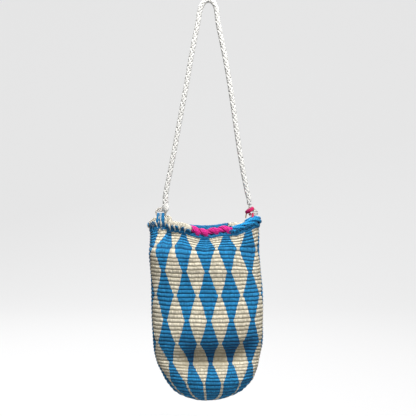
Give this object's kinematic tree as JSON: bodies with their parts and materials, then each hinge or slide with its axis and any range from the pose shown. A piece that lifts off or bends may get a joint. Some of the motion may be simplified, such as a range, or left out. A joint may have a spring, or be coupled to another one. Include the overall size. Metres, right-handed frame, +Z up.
{
  "type": "tote bag",
  "caption": "Slim looped-fibre pouch with a diamond pattern, an open mouth with a yarn-wound rim, and one braided rope shoulder strap lashed to it.",
  "frame": {"origin": "underside of the strap's crown, where a hook or a shoulder carries the bag", "axes": "+Z up along the hanging bag, +X to the right of a viewer who faces the front, and the front faces -Y"},
  "size_m": [0.1844, 0.0761, 0.646],
  "materials": {
    "white_rope": "braided white rope with grey shade between its strands",
    "white_cord": "twisted white cord",
    "grey_cord": "twisted grey-white cord",
    "cream_cord": "plain fibre cord",
    "looped_fibre": "blue and cream looped fibre in rows, with a diamond pattern",
    "blue_yarn": "matt twisted blue yarn",
    "bright_blue_yarn": "matt twisted bright blue yarn",
    "white_yarn": "matt twisted off-white yarn",
    "magenta_yarn": "matt twisted magenta yarn",
    "tan_thread": "thin tan thread"
  },
  "bodies": {
    "strap": {"strap_cord": "white_rope", "left_strap_knot": "white_rope", "left_strap_loop": "grey_cord", "right_strap_loop": "white_cord", "right_strap_whipping": "magenta_yarn", "tan_thread_tail": "tan_thread"},
    "pouch": {"pouch_wall": "looped_fibre", "rim_core_cord": "cream_cord", "rim_stitch_row": "blue_yarn", "white_front_edging": "white_yarn", "magenta_edging": "magenta_yarn", "blue_front_edging": "bright_blue_yarn", "right_corner_edging": "bright_blue_yarn", "white_back_edging": "white_yarn", "blue_back_edging": "blue_yarn", "left_outer_lashing": "blue_yarn", "left_inner_lashing": "blue_yarn", "left_white_lashing": "white_yarn", "right_lashing": "magenta_yarn"}
  },
  "joints": [
    {"name": "pouch_swing", "type": "hinge", "parent": "strap", "child": "pouch", "pos_m": [0, 0, -0.336], "axis": [1, 0, 0], "range_deg": [-85, 85]}
  ]
}
